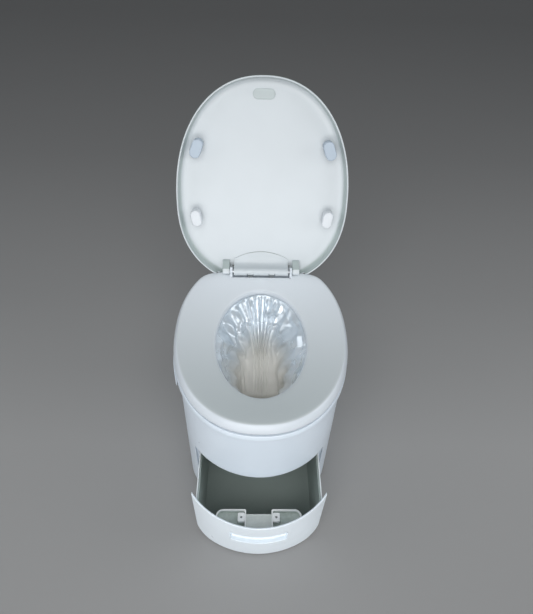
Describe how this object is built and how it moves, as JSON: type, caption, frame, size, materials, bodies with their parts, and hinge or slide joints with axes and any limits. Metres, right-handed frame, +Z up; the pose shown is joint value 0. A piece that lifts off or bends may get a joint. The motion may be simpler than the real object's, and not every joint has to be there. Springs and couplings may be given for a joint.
{
  "type": "waterless packing toilet",
  "caption": "Free-standing waterless toilet with an oval seat and lid, a film-lined bowl over pinch rollers, a side lever and a curved front drawer.",
  "frame": {"origin": "on the floor, under the point where the seat is widest and on the toilet's middle plane", "axes": "+Z up, -Y towards the user at the drawer front, +X to the right seen from the front"},
  "size_m": [0.403, 0.7074, 0.9009],
  "materials": {
    "white_gloss": "satin moulded plastic",
    "white_matte": "fine matte moulded plastic",
    "pad_grey": "soft matte pad",
    "film": "thin silvery film with a soft sheen",
    "bin_dark": "dark matte plastic",
    "tray_grey": "pale grey moulded plastic",
    "steel": "drawn bar and sheet",
    "bronze": "plain bearing metal",
    "gear_white": "natural engineering plastic",
    "soft_black": "moulded rubber"
  },
  "bodies": {
    "body": {"body_shell": "white_gloss", "top_deck": "white_gloss", "base_plate": "tray_grey", "floor_feet": "soft_black", "shelf": "tray_grey", "inner_bowl": "tray_grey", "film_cassette": "tray_grey", "film_pack": "film", "liner_film": "film", "hinge_posts": "steel", "hinge_pin": "steel", "drawer_rails": "tray_grey", "side_plates": "steel", "front_bushes": "bronze", "pivot_pins": "steel", "arm_springs": "steel", "lever_bush": "bronze", "return_spring": "steel"},
    "lid": {"lid_shell": "white_gloss", "lid_lugs": "white_gloss", "hinge_bridge": "white_gloss", "lid_front_bumpers": "pad_grey", "lid_rear_bumpers": "white_gloss", "lid_boss": "white_gloss"},
    "seat": {"seat_ring": "white_matte", "seat_buffers": "soft_black"},
    "drawer": {"drawer_frame": "white_gloss", "drawer_front": "white_gloss", "grip_cup": "white_gloss", "waste_bin": "bin_dark", "drawer_bracket": "tray_grey", "bracket_screws": "steel"},
    "lever": {"packing_lever": "white_gloss", "lever_shaft": "steel", "toothed_sector": "gear_white"},
    "front_roller_set": {"front_roller": "soft_black", "front_shaft": "steel", "drive_pinion": "gear_white", "front_gear": "gear_white"},
    "roller_arms": {"swing_arms": "steel", "rear_bushes": "bronze"},
    "rear_roller_set": {"rear_roller": "soft_black", "rear_shaft": "steel", "rear_gear": "gear_white"}
  },
  "joints": [
    {"name": "lid_hinge", "type": "hinge", "parent": "body", "child": "lid", "pos_m": [0, 0.18, 0.468], "axis": [-1, 0, 0], "range_deg": [-108.3, 0]},
    {"name": "seat_hinge", "type": "hinge", "parent": "body", "child": "seat", "pos_m": [0, 0.18, 0.468], "axis": [-1, 0, 0], "range_deg": [0, 103]},
    {"name": "drawer_slide", "type": "slide", "parent": "body", "child": "drawer", "axis": [0, -1, 0], "range_m": [-0.117, 0.15]},
    {"name": "lever_hinge", "type": "hinge", "parent": "body", "child": "lever", "pos_m": [-0.16, 0.00016, 0.4], "axis": [1, 0, 0], "range_deg": [0, 35], "stiffness_Nm_per_rad": 0.6, "springref_deg": -51.57},
    {"name": "roller_arm_hinge", "type": "hinge", "parent": "body", "child": "roller_arms", "pos_m": [0, -0.063, 0.308], "axis": [1, 0, 0], "range_deg": [0, 25], "stiffness_Nm_per_rad": 1, "springref_deg": -22.92},
    {"name": "front_roller_spin", "type": "hinge", "parent": "body", "child": "front_roller_set", "pos_m": [0, -0.1005, 0.268], "axis": [1, 0, 0], "range_deg": [-335, 5]},
    {"name": "rear_roller_spin", "type": "hinge", "parent": "roller_arms", "child": "rear_roller_set", "pos_m": [0, -0.0695, 0.268], "axis": [1, 0, 0], "range_deg": [-5, 335]}
  ],
  "couplings": [
    {"joint": "front_roller_spin", "follows": "lever_hinge", "ratio": -9.375},
    {"joint": "rear_roller_spin", "follows": "lever_hinge", "ratio": 9.375}
  ]
}
